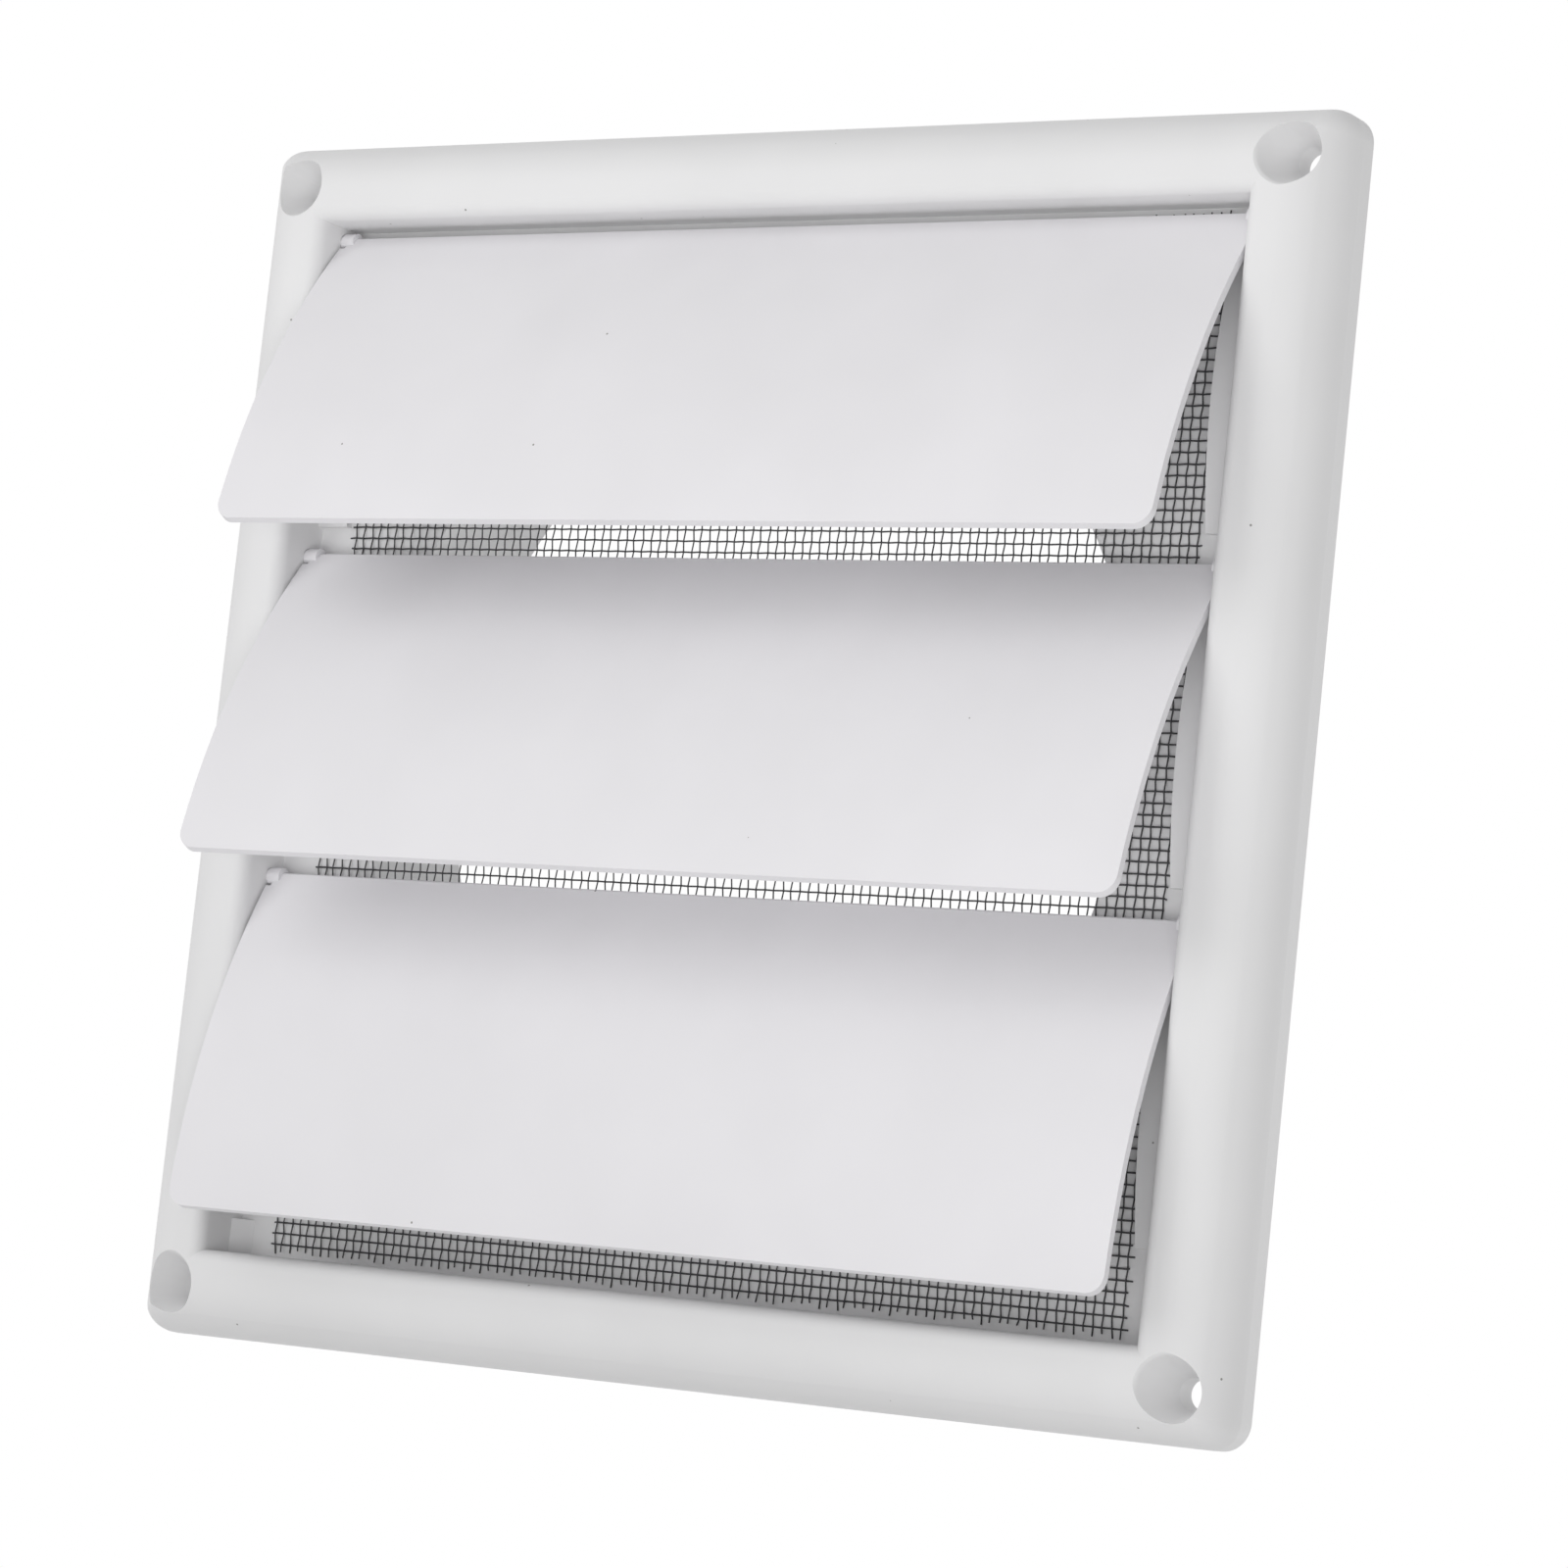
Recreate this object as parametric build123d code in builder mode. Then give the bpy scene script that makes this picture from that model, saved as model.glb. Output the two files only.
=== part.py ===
"""Square exhaust-vent cover: moulded frame with a duct collar, three gravity flaps and an insect screen.

Millimetres, +Z up. The front faces -Y, and y = 0 is the wall that the cover is screwed to.
"""

import os
from math import cos, radians, sin, sqrt

from build123d import *

# Frame: a square of hollow rounded rails
FACE_SIZE = 178.0  # outside width and height
RAIL_WIDTH = 12.5  # from the outside to the opening
RAIL_HEIGHT = 11.5  # how far the rails stand off the wall
CROWN_RADIUS = 8.5  # big rounding of a rail, on its outer side
EDGE_RADIUS = 2.0  # small rounding of a rail, beside the opening
CROWN_FLAT = 0.5  # least flat that the big rounding leaves on a rail
CORNER_RADIUS = 4.0  # corners of the square
WALL = 1.8  # moulded wall of the rails
PLATE = 2.0  # back plate behind the flaps

# Round outlet and the collar that takes the duct
OUTLET_DIAMETER = 125.0
COLLAR_WALL = 1.5
COLLAR_LENGTH = 20.0

# Screw holes with their dished seats
SCREW_INSET = 7.0  # from the outside of the frame to a screw's centre
SCREW_HOLE = 4.2
DISH_DIAMETER = 9.6  # at the height of the rail's crown
DISH_DEPTH = 8.0  # from the crown down to the screw hole
DISH_LIP = 1.2  # rounding of a dish's rim
LIP_RISE = 0.3  # how far the rounding would run on above the crown
BOSS_WALL = 1.2  # wall left around a dish

# Flaps: curved sheets that hang on pins
FLAP_COUNT = 3
HINGE_DEPTH = 4.7  # from the wall to the pins' axis
TOP_GAP = 2.1  # from the opening's top down to the first axis
BOTTOM_GAP = 7.65  # what the flaps' even shares leave of the opening's height
FLAP_LAP = 4.25  # how far a flap reaches past the next axis when it hangs straight down
FLAP_BULGE = 3.1  # rise of the curved sheet over its chord
FLAP_THICK = 1.2
FLAP_CORNER = 2.6  # rounding of the two lower corners
SIDE_GAP = 0.4  # between a flap's end and the side wall
KNUCKLE_DIAMETER = 2.7  # round barrel at each end of the upper edge
KNUCKLE_LENGTH = 2.0
PIN_DIAMETER = 2.4
PIN_CLEARANCE = 0.08  # around a pin in its hole
PIN_REACH = 1.5  # how far a pin stands in its wall
NICK_LENGTH = 0.9  # slit under each knuckle, which lets the pin spring in
NICK_HEIGHT = 0.5
FLAP_ANGLES = {"top_flap": 26.5, "middle_flap": 26.0, "bottom_flap": 17.0}  # open, from the vertical

# Ribs on the back plate that keep the screen in place, and the gussets in the lower corners
RIB_WIDTH = 5.3
RIB_HEIGHT = 3.5  # in the middle, above the plate
RIB_END_HEIGHT = 1.2  # at both ends, above the plate
RIB_START = 6.0  # from a pin's axis down to a rib's upper end
RIB_STOP = 5.0  # from the next axis up to a rib's lower end
GUSSET = 2.4
GUSSET_HEIGHT = 5.0

# Insect screen: flat strands that cross over each other
STRAND_WIDTH = 1.4
STRAND_THICK = 0.34
STRAND_SINK = 0.12  # how deep the two layers of strands lie in each other
SCREEN_COLUMNS = 9  # gaps across
SCREEN_ROWS = 10  # gaps up
SCREEN_CLEARANCE = 0.3  # to the ribs
SCREEN_EDGE_GAP = 0.4  # to the opening's top and bottom

# Sizes that follow from the ones above
opening = FACE_SIZE - 2 * RAIL_WIDTH
half_opening = opening / 2
crown_radius = min(CROWN_RADIUS, RAIL_WIDTH - EDGE_RADIUS - CROWN_FLAT, RAIL_HEIGHT - CROWN_FLAT)
screw_spacing = FACE_SIZE - 2 * SCREW_INSET
screw_radius = SCREW_HOLE / 2
dish_radius = DISH_DIAMETER / 2
outlet_radius = OUTLET_DIAMETER / 2
flap_pitch = (opening - TOP_GAP - BOTTOM_GAP) / FLAP_COUNT
flap_chord = flap_pitch + FLAP_LAP
flap_length = opening - 2 * SIDE_GAP
hinge_heights = [half_opening - TOP_GAP - flap_pitch * i for i in range(FLAP_COUNT)]
screen_width = opening - 2 * RIB_WIDTH - 2 * SCREEN_CLEARANCE
screen_height = opening - 2 * SCREEN_EDGE_GAP


def rail_ring(inset):
    """Closed ring of four rails, its skin set in from the frame's own by inset."""
    outer = FACE_SIZE / 2 - inset
    inner = half_opening + inset
    top = RAIL_HEIGHT - inset
    corner = CORNER_RADIUS - inset
    centre = outer - corner

    with BuildSketch() as section:
        with BuildLine():
            skin = FilletPolyline(
                (outer, 0), (outer, -top), (inner, -top), (inner, 0),
                radius=(crown_radius - inset, EDGE_RADIUS),
            )
            Line(skin @ 1, skin @ 0)
        make_face()

    with BuildPart() as quarter:
        add(section.sketch)
        extrude(amount=centre, both=True)
        split(bisect_by=Plane((0, 0, 0), x_dir=(0, 1, 0), z_dir=(1, 0, -1)), keep=Keep.TOP)
        split(bisect_by=Plane((0, 0, 0), x_dir=(0, 1, 0), z_dir=(1, 0, 1)), keep=Keep.TOP)
        with BuildSketch(Plane.XY.offset(centre)):
            add(section.sketch)
            with Locations((outer - corner / 2, -top / 2)):
                Rectangle(corner, top, mode=Mode.INTERSECT)
        revolve(axis=Axis((centre, 0, centre), (0, -1, 0)), revolution_arc=90)

    with BuildPart() as ring:
        for turn in range(4):
            add(quarter.part, rotation=(0, 90 * turn, 0))
    return ring.part


# Frame
with BuildPart() as hollow:
    add(rail_ring(WALL))
    with BuildSketch(Plane.XZ):
        with GridLocations(screw_spacing, screw_spacing, 2, 2):
            Circle(dish_radius + BOSS_WALL)
    extrude(amount=RAIL_HEIGHT, both=True, mode=Mode.SUBTRACT)

# The space of one screw: its dish with a rounded rim, and the hole below it
with BuildPart() as dish:
    with BuildSketch(Plane.XZ):
        with BuildLine():
            cone = FilletPolyline(
                (dish_radius + DISH_LIP, RAIL_HEIGHT + LIP_RISE),
                (dish_radius, RAIL_HEIGHT),
                (screw_radius, RAIL_HEIGHT - DISH_DEPTH),
                radius=DISH_LIP,
            )
            Polyline(cone @ 1, (screw_radius, 0), (0, 0), (0, RAIL_HEIGHT + LIP_RISE), cone @ 0)
        make_face()
    revolve(axis=Axis.Z)

with BuildPart() as frame:
    add(rail_ring(0))
    add(hollow.part, mode=Mode.SUBTRACT)

    # Back plate, collar and outlet
    with BuildSketch(Plane.XZ):
        Rectangle(opening + WALL, opening + WALL)
    extrude(amount=PLATE)
    with BuildSketch(Plane.XZ.offset(PLATE)):
        Circle(outlet_radius + COLLAR_WALL)
    extrude(amount=-PLATE - COLLAR_LENGTH)
    with BuildSketch(Plane.XZ.offset(PLATE)):
        Circle(outlet_radius)
    extrude(amount=-PLATE - COLLAR_LENGTH, mode=Mode.SUBTRACT)

    # Dished screw holes
    with Locations(Plane.XZ):
        with PolarLocations(screw_spacing / sqrt(2), 4, start_angle=45):
            add(dish.part, mode=Mode.SUBTRACT)

    for side in (1, -1):
        # Ribs beside the screen, one under each axis
        for height in hinge_heights:
            rib_top = height - RIB_START
            rib_end = height - flap_pitch + RIB_STOP
            with BuildSketch(Plane.YZ.offset(side * (half_opening + WALL / 2))):
                with BuildLine():
                    Polyline(
                        (-PLATE - RIB_END_HEIGHT, rib_top),
                        (-PLATE / 2, rib_top),
                        (-PLATE / 2, rib_end),
                        (-PLATE - RIB_END_HEIGHT, rib_end),
                    )
                    ThreePointArc(
                        (-PLATE - RIB_END_HEIGHT, rib_end),
                        (-PLATE - RIB_HEIGHT, (rib_top + rib_end) / 2),
                        (-PLATE - RIB_END_HEIGHT, rib_top),
                    )
                make_face()
            extrude(amount=-side * (RIB_WIDTH + WALL / 2))

        # Gusset between the side wall and the back plate, in the lower corner
        with BuildSketch(Plane.XY.offset(-half_opening - WALL / 2)):
            with BuildLine():
                Polyline(
                    (side * (half_opening + WALL / 2), -PLATE / 2),
                    (side * (half_opening + WALL / 2), -PLATE - GUSSET),
                    (side * half_opening, -PLATE - GUSSET),
                    (side * (half_opening - GUSSET), -PLATE),
                    (side * (half_opening - GUSSET), -PLATE / 2),
                    close=True,
                )
            make_face()
        extrude(amount=GUSSET_HEIGHT + WALL / 2)

        # Pin holes
        with BuildSketch(Plane.YZ.offset(side * (half_opening - RIB_WIDTH))):
            with Locations(*[(-HINGE_DEPTH, height) for height in hinge_heights]):
                Circle(PIN_DIAMETER / 2 + PIN_CLEARANCE)
        extrude(amount=side * (RIB_WIDTH + 2 * WALL), mode=Mode.SUBTRACT)


def make_flap(height, angle):
    """Curved sheet with a rounded upper edge, a knuckle and a pin at each end, hanging open by angle."""
    swing = radians(angle)
    section = Plane((0, -HINGE_DEPTH, height), x_dir=(0, cos(swing), -sin(swing)), z_dir=(1, 0, 0))
    half_thick = FLAP_THICK / 2

    with BuildPart() as flap:
        with BuildSketch(section):
            Circle(half_thick)
            with BuildLine():
                front, back = [
                    ThreePointArc((skin, 0), (skin - FLAP_BULGE, -flap_chord / 2), (skin, -flap_chord))
                    for skin in (-half_thick, half_thick)
                ]
                Line(front @ 0, back @ 0)
                Line(front @ 1, back @ 1)
            make_face()
        extrude(amount=flap_length / 2, both=True)
        across = flap.edges().filter_by(lambda edge: edge.length < 2 * FLAP_THICK)
        fillet(across.sort_by(Axis.Z)[:2], radius=FLAP_CORNER)

        for side in (1, -1):
            end = section.offset(side * flap_length / 2)
            with BuildSketch(end):
                Circle(KNUCKLE_DIAMETER / 2)
            extrude(amount=-side * KNUCKLE_LENGTH)
            with BuildSketch(end):
                Circle(PIN_DIAMETER / 2)
            extrude(amount=side * (SIDE_GAP + PIN_REACH))
            with BuildSketch(end):
                with Locations((0, -KNUCKLE_DIAMETER / 2 - NICK_HEIGHT / 2)):
                    Rectangle(2 * (FLAP_BULGE + FLAP_THICK), NICK_HEIGHT)
            extrude(amount=-side * NICK_LENGTH, mode=Mode.SUBTRACT)
    return flap.part


# Flaps
flaps = []
for (name, angle), height in zip(FLAP_ANGLES.items(), hinge_heights):
    flap_part = make_flap(height, angle)
    flap_part.label = name
    flaps.append(flap_part)

# Insect screen: level strands against the plate, upright strands over them
column_pitch = (screen_width - STRAND_WIDTH) / SCREEN_COLUMNS
row_pitch = (screen_height - STRAND_WIDTH) / SCREEN_ROWS
with BuildPart() as insect_screen:
    with BuildSketch(Plane.XZ.offset(PLATE)):
        with GridLocations(0, row_pitch, 1, SCREEN_ROWS + 1):
            Rectangle(screen_width, STRAND_WIDTH)
    extrude(amount=STRAND_THICK)
    with BuildSketch(Plane.XZ.offset(PLATE + STRAND_THICK - STRAND_SINK)):
        with GridLocations(column_pitch, 0, SCREEN_COLUMNS + 1, 1):
            Rectangle(STRAND_WIDTH, screen_height)
    extrude(amount=STRAND_THICK)

frame.part.label = "frame"
insect_screen.part.label = "insect_screen"

os.makedirs("parts", exist_ok=True)
export_step(frame.part, "parts/frame.step")
export_step(insect_screen.part, "parts/insect_screen.step")
for flap_part in flaps:
    export_step(flap_part, f"parts/{flap_part.label}.step")
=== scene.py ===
"""Looks of a square exhaust-vent cover: woven screen, moulded plastic, soft light and camera.

Metres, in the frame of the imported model: +Z up, the front faces -Y, y = 0 is the wall.
"""

import math
import random

import bpy
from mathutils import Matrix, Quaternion, Vector


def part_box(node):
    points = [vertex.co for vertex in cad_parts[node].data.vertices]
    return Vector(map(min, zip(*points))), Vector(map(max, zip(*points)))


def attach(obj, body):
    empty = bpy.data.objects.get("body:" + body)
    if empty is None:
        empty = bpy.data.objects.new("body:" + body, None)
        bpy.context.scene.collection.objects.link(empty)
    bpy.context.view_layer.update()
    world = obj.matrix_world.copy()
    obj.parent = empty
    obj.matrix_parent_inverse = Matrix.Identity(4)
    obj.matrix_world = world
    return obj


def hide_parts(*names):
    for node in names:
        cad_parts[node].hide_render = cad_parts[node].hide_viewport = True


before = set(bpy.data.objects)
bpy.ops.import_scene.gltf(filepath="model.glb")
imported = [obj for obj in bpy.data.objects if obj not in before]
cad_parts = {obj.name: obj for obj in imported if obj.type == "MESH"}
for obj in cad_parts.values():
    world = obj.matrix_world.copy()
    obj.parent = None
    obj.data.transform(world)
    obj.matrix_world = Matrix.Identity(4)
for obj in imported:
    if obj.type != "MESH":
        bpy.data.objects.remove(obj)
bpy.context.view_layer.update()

MM = 0.001
WHITE = (1.0, 1.0, 1.0, 1.0)

# Camera, worked out from the photograph's vanishing lines
CAMERA_AIM = Vector((7.5, 0.0, -3.8)) * MM
CAMERA_DISTANCE = 0.7101
CAMERA_AZIMUTH = 31.98  # degrees to the right of the front
CAMERA_ELEVATION = -6.23
CAMERA_ROLL = 6.1
CAMERA_LENS = 116.6
CAMERA_SENSOR = 36.0

# Woven screen: 18 upright and 16 level threads to the inch
THREAD = 0.25 * MM
UPRIGHT_PITCH = 25.4 / 18 * MM
LEVEL_PITCH = 25.4 / 16 * MM
SIDE_FRINGE = (0.25 * MM, 0.95 * MM)  # how far a cut thread stands past the last crossing
LOW_FRINGE = (0.7 * MM, 1.4 * MM)
TOP_SLANT = 0.03  # slant of the cut along the top, which is highest on the right
THREAD_WANDER = 0.13 * MM  # how far a thread may wander sideways
WANDER_WAVES = (1.0, 2.6)  # waves along one thread
WANDER_SHARE = (0.3, 1.0)  # part of THREAD_WANDER that one thread uses
LEVEL_WANDER = 0.4  # level threads lie straighter than upright ones
THREAD_JITTER = 0.018 * MM  # scatter of an upright thread at each crossing
UPRIGHT_END_BEND = 0.1 * MM  # how far cut ends bend aside
LEVEL_END_BEND = 0.06 * MM
WEAVE_SEED = 11

# Plastic; each scale here and below is in cells to the metre
FRAME_WHITE = (0.818, 0.816, 0.820, 1.0)
FLAP_WHITE = (0.834, 0.824, 0.846, 1.0)
MOTTLE_SCALE = 38.0
MOTTLE_SHADE = 0.968  # darkest patches, against the white
MOTTLE_SPAN = (0.35, 0.65)  # noise values between which the shade turns to white
GRAIN_SCALE = 1500.0
GRAIN_SHARE = 0.12  # height of the grain, against the waves
WAVE_SCALE = 90.0
RELIEF_STRENGTH = 0.18
RELIEF_HEIGHT = 0.25 * MM
PLASTIC_ROUGHNESS = (0.40, 0.56)
PLASTIC_IOR = 1.46
PLASTIC_SPECULAR = 0.3

# Specks of dirt, at most one in a cell
SPECK_SCALE = 210.0
SPECK_RADIUS = 0.035  # in cells
SPECK_GREY = (0.30, 0.29, 0.28, 1.0)
FRAME_SPECKS = 0.45  # share of the cells that have one
FLAP_SPECKS = 0.12

# Yarn of the screen
SCREEN_BLACK = (0.036, 0.036, 0.038, 1.0)
YARN_SCALE = 900.0
YARN_LIGHTEST = 2.2  # against the black
YARN_ROUGHNESS = (0.5, 0.75)

# Stage
FLOOR_HEIGHT = -0.150
FLOOR_RADIUS = 0.30
FLOOR_SIDES = 96
FLOOR_FADE = (0.4, 0.97)  # where it starts to fade and where it is gone, in radii
FLOOR_WHITE = (0.92, 0.92, 0.92, 1.0)
FLOOR_LIFT = 0.43  # brings the open floor up to white where it is seen; no diffuse light
AMBIENT = 0.51  # light from all around

# Square softboxes: place, side and watts
SOFTBOXES = {
    "key_light": ((-0.75, -1.05, 0.55), 0.9, 5.0),
    "low_light": ((0.50, -1.00, -0.42), 0.8, 5.4),
    "back_light": ((0.15, 1.20, -0.15), 0.9, 5.0),
}


def new_material(name):
    """Empty node material, returned with its node tree."""
    material = bpy.data.materials.new(name)
    material.use_nodes = True
    tree = material.node_tree
    tree.nodes.clear()
    return material, tree


def add_node(tree, kind, **settings):
    """New node with its properties and, by socket name, its input values."""
    node = tree.nodes.new(kind)
    for key, value in settings.items():
        if hasattr(node, key):
            setattr(node, key, value)
        else:
            node.inputs[key.replace("_", " ")].default_value = value
    return node


def moulded_plastic(name, white, speck_share):
    """Satin white moulding: faint mottling, fine grain, a few specks of dirt."""
    material, tree = new_material(name)
    link = tree.links.new
    place = add_node(tree, "ShaderNodeTexCoord").outputs["Object"]

    mottle = add_node(
        tree, "ShaderNodeTexNoise", Scale=MOTTLE_SCALE, Detail=2.0, Roughness=0.55)
    link(place, mottle.inputs["Vector"])
    tint = add_node(tree, "ShaderNodeValToRGB")
    shade = tuple(MOTTLE_SHADE * c for c in white[:3]) + (1.0,)
    tint.color_ramp.elements[0].position = MOTTLE_SPAN[0]
    tint.color_ramp.elements[0].color = shade
    tint.color_ramp.elements[1].position = MOTTLE_SPAN[1]
    tint.color_ramp.elements[1].color = white
    link(mottle.outputs["Fac"], tint.inputs["Fac"])

    cells = add_node(tree, "ShaderNodeTexVoronoi", Scale=SPECK_SCALE, Randomness=1.0)
    link(place, cells.inputs["Vector"])
    dot = add_node(tree, "ShaderNodeMath", operation="LESS_THAN")
    dot.inputs[1].default_value = SPECK_RADIUS
    link(cells.outputs["Distance"], dot.inputs[0])
    parts = add_node(tree, "ShaderNodeSeparateColor")
    link(cells.outputs["Color"], parts.inputs["Color"])
    chosen = add_node(tree, "ShaderNodeMath", operation="LESS_THAN")
    chosen.inputs[1].default_value = speck_share
    link(parts.outputs["Red"], chosen.inputs[0])
    speck = add_node(tree, "ShaderNodeMath", operation="MULTIPLY")
    link(dot.outputs["Value"], speck.inputs[0])
    link(chosen.outputs["Value"], speck.inputs[1])
    dirty = add_node(tree, "ShaderNodeMix", data_type="RGBA")
    dirty.inputs["B"].default_value = SPECK_GREY
    link(speck.outputs["Value"], dirty.inputs["Factor"])
    link(tint.outputs["Color"], dirty.inputs["A"])

    grain = add_node(tree, "ShaderNodeTexNoise", Scale=GRAIN_SCALE, Detail=2.0)
    link(place, grain.inputs["Vector"])
    waves = add_node(tree, "ShaderNodeTexNoise", Scale=WAVE_SCALE, Detail=1.0)
    link(place, waves.inputs["Vector"])
    relief = add_node(tree, "ShaderNodeMath", operation="MULTIPLY_ADD")
    relief.inputs[1].default_value = GRAIN_SHARE
    link(grain.outputs["Fac"], relief.inputs[0])
    link(waves.outputs["Fac"], relief.inputs[2])
    bump = add_node(tree, "ShaderNodeBump", Strength=RELIEF_STRENGTH, Distance=RELIEF_HEIGHT)
    link(relief.outputs["Value"], bump.inputs["Height"])

    smooth, rough = PLASTIC_ROUGHNESS
    gloss = add_node(tree, "ShaderNodeMapRange", To_Min=smooth, To_Max=rough)
    link(mottle.outputs["Fac"], gloss.inputs["Value"])

    shader = add_node(tree, "ShaderNodeBsdfPrincipled", IOR=PLASTIC_IOR)
    shader.inputs["Specular IOR Level"].default_value = PLASTIC_SPECULAR
    link(dirty.outputs["Result"], shader.inputs["Base Color"])
    link(gloss.outputs["Result"], shader.inputs["Roughness"])
    link(bump.outputs["Normal"], shader.inputs["Normal"])
    output = add_node(tree, "ShaderNodeOutputMaterial")
    link(shader.outputs["BSDF"], output.inputs["Surface"])
    return material


def screen_yarn():
    """Matt black coated yarn with slightly uneven gloss."""
    material, tree = new_material("screen_yarn")
    link = tree.links.new
    place = add_node(tree, "ShaderNodeTexCoord").outputs["Object"]
    noise = add_node(tree, "ShaderNodeTexNoise", Scale=YARN_SCALE, Detail=2.0)
    link(place, noise.inputs["Vector"])
    tint = add_node(tree, "ShaderNodeValToRGB")
    tint.color_ramp.elements[0].color = SCREEN_BLACK
    lightest = tuple(YARN_LIGHTEST * c for c in SCREEN_BLACK[:3]) + (1.0,)
    tint.color_ramp.elements[1].color = lightest
    link(noise.outputs["Fac"], tint.inputs["Fac"])
    smooth, rough = YARN_ROUGHNESS
    gloss = add_node(tree, "ShaderNodeMapRange", To_Min=smooth, To_Max=rough)
    link(noise.outputs["Fac"], gloss.inputs["Value"])
    shader = add_node(tree, "ShaderNodeBsdfPrincipled")
    link(tint.outputs["Color"], shader.inputs["Base Color"])
    link(gloss.outputs["Result"], shader.inputs["Roughness"])
    output = add_node(tree, "ShaderNodeOutputMaterial")
    link(shader.outputs["BSDF"], output.inputs["Surface"])
    return material


def thread_mesh(paths, along):
    """Closed four-sided tubes along paths of points, which run along x (0) or z (2)."""
    half = THREAD / 2
    sideways = Vector((0, 0, half)) if along == 0 else Vector((half, 0, 0))
    through = Vector((0, half, 0))
    ring = (sideways, through, -sideways, -through)
    points, faces = [], []
    for path in paths:
        start = len(points)
        for point in path:
            points.extend(tuple(point + offset) for offset in ring)
        for i in range(len(path) - 1):
            a = start + 4 * i
            for k in range(4):
                after = (k + 1) % 4
                faces.append((a + k, a + after, a + 4 + after, a + 4 + k))
        faces.append((start + 3, start + 2, start + 1, start))
        end = start + 4 * (len(path) - 1)
        faces.append((end, end + 1, end + 2, end + 3))
    return points, faces


def woven_screen(material):
    """Plain-weave screen with cut thread ends, in place of the model's own."""
    low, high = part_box("insect_screen")
    middle = (low[1] + high[1]) / 2
    lift = (high[1] - low[1]) / 2 - THREAD / 2
    draw = random.Random(WEAVE_SEED)

    def even_places(start, stop, pitch):
        count = int((stop - start - 2 * SIDE_FRINGE[1]) / pitch)
        first = (start + stop - count * pitch) / 2
        return [first + pitch * i for i in range(count + 1)]

    columns = even_places(low[0], high[0], UPRIGHT_PITCH)
    rows = even_places(low[2], high[2], LEVEL_PITCH)

    def wander(count):
        phase = draw.uniform(0, 2 * math.pi)
        waves = draw.uniform(*WANDER_WAVES)
        reach = draw.uniform(*WANDER_SHARE) * THREAD_WANDER
        return [reach * math.sin(phase + waves * 2 * math.pi * i / count) for i in range(count)]

    column_shift = [
        [s + draw.gauss(0, THREAD_JITTER) for s in wander(len(rows))] for _ in columns]
    row_shift = [wander(len(columns)) for _ in rows]

    def crossing(i, j, over):
        x = columns[i] + column_shift[i][j]
        z = rows[j] + LEVEL_WANDER * row_shift[j][i]
        side = 1 if (i + j) % 2 == over else -1
        return Vector((x, middle + side * lift, z))

    upright, level = [], []
    for i in range(len(columns)):
        path = [crossing(i, j, 0) for j in range(len(rows))]
        lower = path[0] - Vector((draw.gauss(0, UPRIGHT_END_BEND), 0, draw.uniform(*LOW_FRINGE)))
        lower.z = max(lower.z, low[2])
        upper = path[-1] + Vector((draw.gauss(0, UPRIGHT_END_BEND), 0, SIDE_FRINGE[0]))
        cut = high[2] - TOP_SLANT * (columns[-1] - columns[i]) - draw.uniform(0, SIDE_FRINGE[0])
        upper.z = max(upper.z, cut)
        upright.append([lower] + path + [upper])
    for j in range(len(rows)):
        path = [crossing(i, j, 1) for i in range(len(columns))]
        left = path[0] - Vector((draw.uniform(*SIDE_FRINGE), 0, draw.gauss(0, LEVEL_END_BEND)))
        right = path[-1] + Vector((draw.uniform(*SIDE_FRINGE), 0, draw.gauss(0, LEVEL_END_BEND)))
        level.append([left] + path + [right])

    points, faces = thread_mesh(upright, 2)
    more_points, more_faces = thread_mesh(level, 0)
    faces += [tuple(len(points) + k for k in face) for face in more_faces]
    points += more_points

    mesh = bpy.data.meshes.new("woven_screen")
    mesh.from_pydata(points, [], faces)
    mesh.validate()
    mesh.shade_smooth()
    mesh.materials.append(material)
    screen = bpy.data.objects.new("woven_screen", mesh)
    bpy.context.collection.objects.link(screen)
    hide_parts("insect_screen")
    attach(screen, "housing")


def dress(node, material):
    """Gives one carried-over node its material."""
    for material_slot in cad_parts[node].material_slots:
        material_slot.material = material


def seen_directly(tree):
    """Socket that is 1 for camera, glossy and transmission rays and 0 for diffuse light."""
    path = add_node(tree, "ShaderNodeLightPath")
    mirrored = add_node(tree, "ShaderNodeMath", operation="MAXIMUM")
    tree.links.new(path.outputs["Is Camera Ray"], mirrored.inputs[0])
    tree.links.new(path.outputs["Is Glossy Ray"], mirrored.inputs[1])
    through = add_node(tree, "ShaderNodeMath", operation="MAXIMUM")
    tree.links.new(mirrored.outputs["Value"], through.inputs[0])
    tree.links.new(path.outputs["Is Transmission Ray"], through.inputs[1])
    return through.outputs["Value"]


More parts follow.
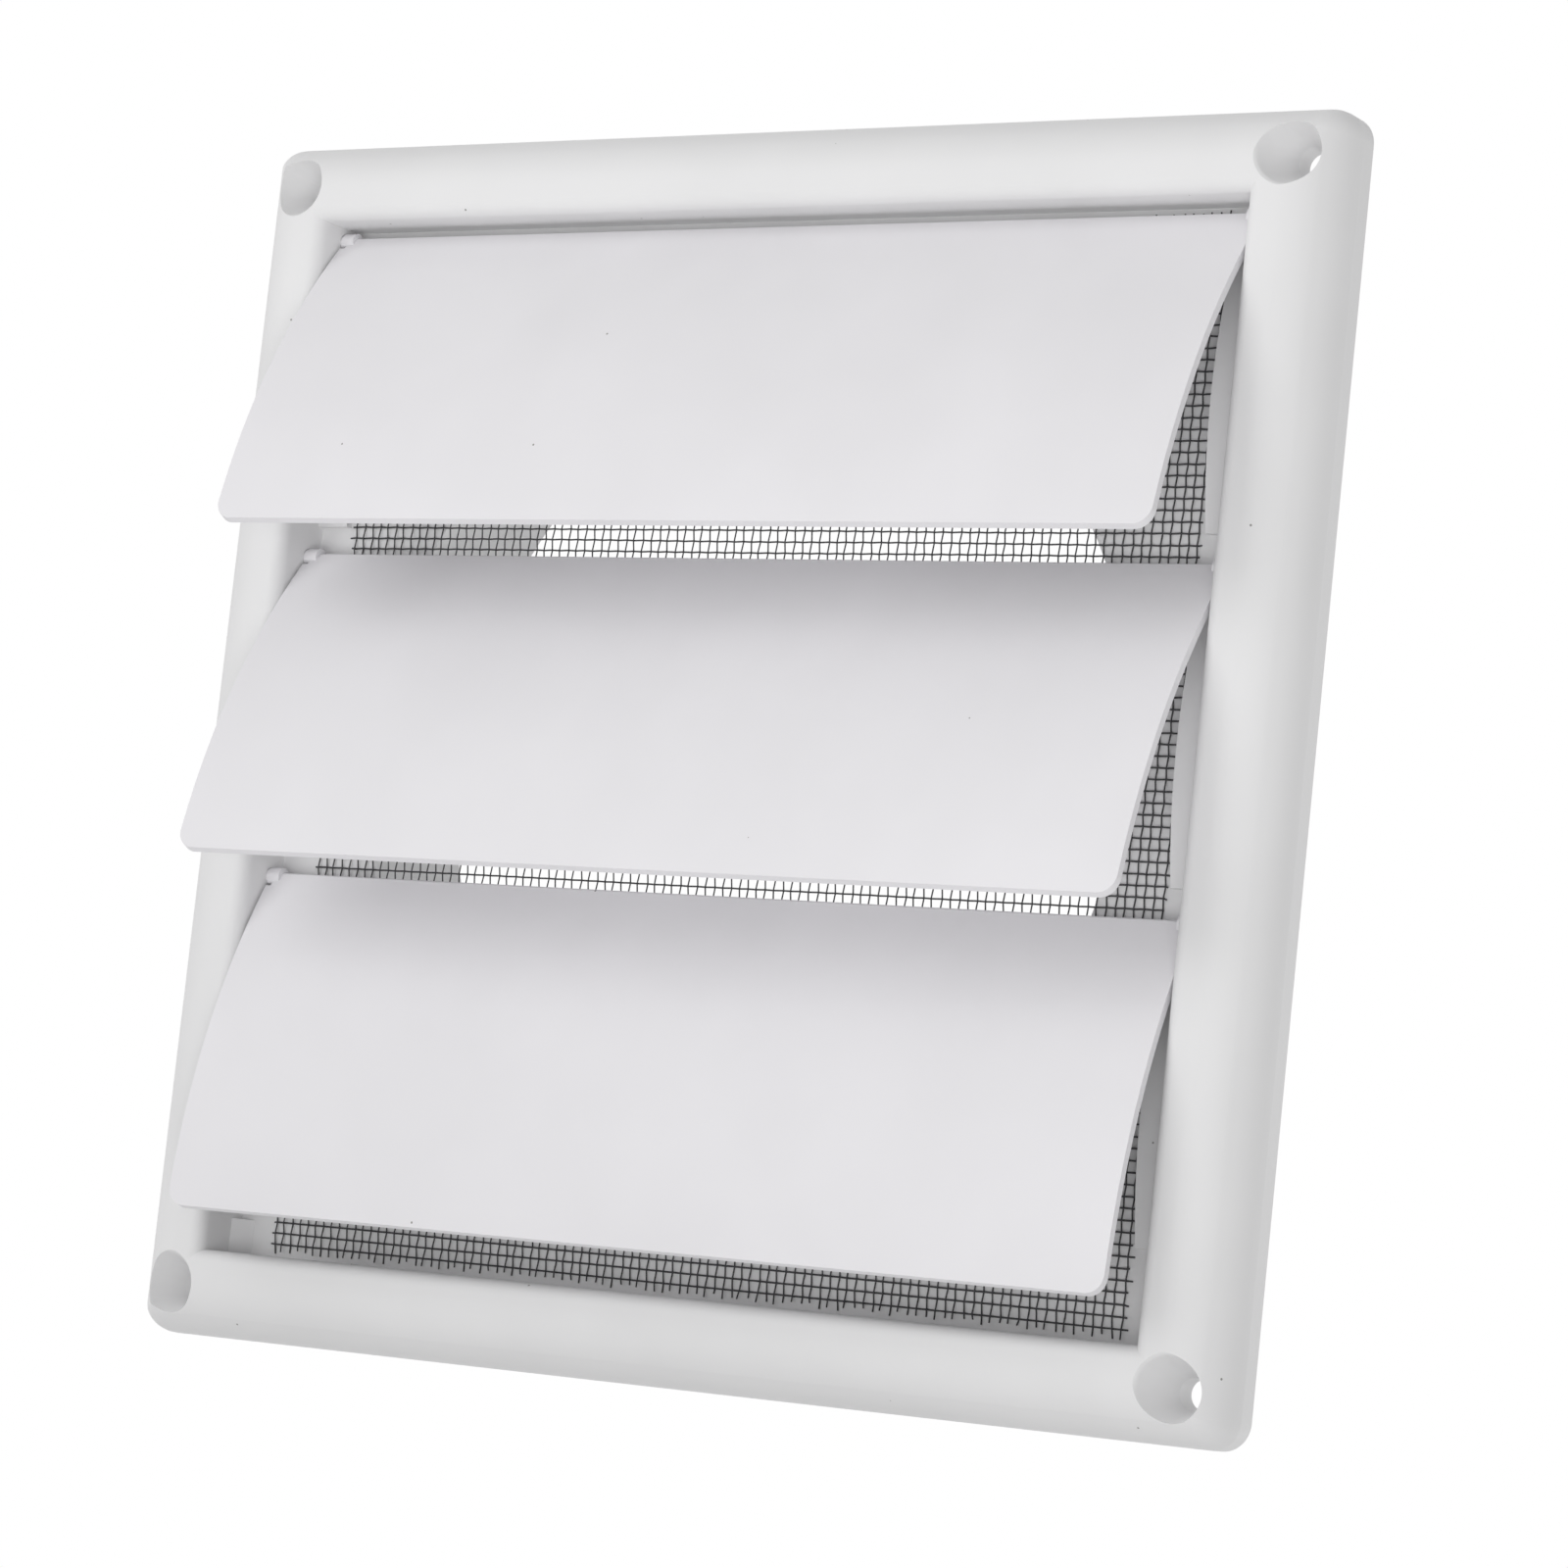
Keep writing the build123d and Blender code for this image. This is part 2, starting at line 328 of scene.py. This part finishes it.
def make_floor():
    """Pale round floor that keeps the vent's shadow and fades out at its rim."""
    bpy.ops.mesh.primitive_circle_add(
        vertices=FLOOR_SIDES, radius=FLOOR_RADIUS, fill_type="NGON")
    floor = bpy.context.object
    floor.name = "floor"
    floor.location = (0, 0, FLOOR_HEIGHT)
    material, tree = new_material("floor_white")
    link = tree.links.new
    place = add_node(tree, "ShaderNodeTexCoord").outputs["Object"]
    radius = add_node(tree, "ShaderNodeVectorMath", operation="LENGTH")
    link(place, radius.inputs[0])
    fade = add_node(tree, "ShaderNodeMapRange", interpolation_type="SMOOTHSTEP")
    fade.inputs["From Min"].default_value = FLOOR_FADE[0] * FLOOR_RADIUS
    fade.inputs["From Max"].default_value = FLOOR_FADE[1] * FLOOR_RADIUS
    link(radius.outputs["Value"], fade.inputs["Value"])
    matt = add_node(tree, "ShaderNodeBsdfDiffuse", Color=FLOOR_WHITE)
    lift = add_node(tree, "ShaderNodeMapRange", To_Min=0.0, To_Max=FLOOR_LIFT)
    link(seen_directly(tree), lift.inputs["Value"])
    glow = add_node(tree, "ShaderNodeEmission", Color=WHITE)
    link(lift.outputs["Result"], glow.inputs["Strength"])
    lit = add_node(tree, "ShaderNodeAddShader")
    link(matt.outputs["BSDF"], lit.inputs[0])
    link(glow.outputs["Emission"], lit.inputs[1])
    clear = add_node(tree, "ShaderNodeBsdfTransparent")
    mix = add_node(tree, "ShaderNodeMixShader")
    link(fade.outputs["Result"], mix.inputs["Fac"])
    link(lit.outputs["Shader"], mix.inputs[1])
    link(clear.outputs["BSDF"], mix.inputs[2])
    output = add_node(tree, "ShaderNodeOutputMaterial")
    link(mix.outputs["Shader"], output.inputs["Surface"])
    floor.data.materials.append(material)


def make_world():
    """White background to the camera and in reflections, softer light on the object."""
    world = bpy.data.worlds.new("studio")
    bpy.context.scene.world = world
    world.use_nodes = True
    tree = world.node_tree
    tree.nodes.clear()
    link = tree.links.new
    strength = add_node(tree, "ShaderNodeMapRange", To_Min=AMBIENT, To_Max=1.0)
    link(seen_directly(tree), strength.inputs["Value"])
    sky = add_node(tree, "ShaderNodeBackground", Color=WHITE)
    link(strength.outputs["Result"], sky.inputs["Strength"])
    output = add_node(tree, "ShaderNodeOutputWorld")
    link(sky.outputs["Background"], output.inputs["Surface"])


def make_softbox(name, place, size, watts):
    """Square area light that faces the middle of the vent."""
    lamp = bpy.data.lights.new(name, "AREA")
    lamp.shape = "SQUARE"
    lamp.size = size
    lamp.energy = watts
    box = bpy.data.objects.new(name, lamp)
    box.location = place
    box.rotation_mode = "QUATERNION"
    box.rotation_quaternion = (-Vector(place)).to_track_quat("-Z", "Y")
    bpy.context.collection.objects.link(box)


def make_camera():
    """Camera below the vent's middle and to its right, rolled as in the photograph."""
    azimuth = math.radians(CAMERA_AZIMUTH)
    elevation = math.radians(CAMERA_ELEVATION)
    away = Vector((
        math.sin(azimuth) * math.cos(elevation),
        -math.cos(azimuth) * math.cos(elevation),
        math.sin(elevation),
    ))
    data = bpy.data.cameras.new("camera")
    data.lens = CAMERA_LENS
    data.sensor_width = CAMERA_SENSOR
    camera = bpy.data.objects.new("camera", data)
    camera.location = CAMERA_AIM + CAMERA_DISTANCE * away
    camera.rotation_mode = "QUATERNION"
    roll = Quaternion((0, 0, 1), math.radians(CAMERA_ROLL))
    camera.rotation_quaternion = (-away).to_track_quat("-Z", "Y") @ roll
    bpy.context.collection.objects.link(camera)
    bpy.context.scene.camera = camera


frame_plastic = moulded_plastic("frame_plastic", FRAME_WHITE, FRAME_SPECKS)
flap_plastic = moulded_plastic("flap_plastic", FLAP_WHITE, FLAP_SPECKS)
dress("frame", frame_plastic)
for flap in ("top_flap", "middle_flap", "bottom_flap"):
    dress(flap, flap_plastic)
woven_screen(screen_yarn())

make_floor()
make_world()
for lamp_name, (lamp_place, lamp_size, lamp_watts) in SOFTBOXES.items():
    make_softbox(lamp_name, lamp_place, lamp_size, lamp_watts)
make_camera()
bpy.context.scene.view_settings.view_transform = "Standard"
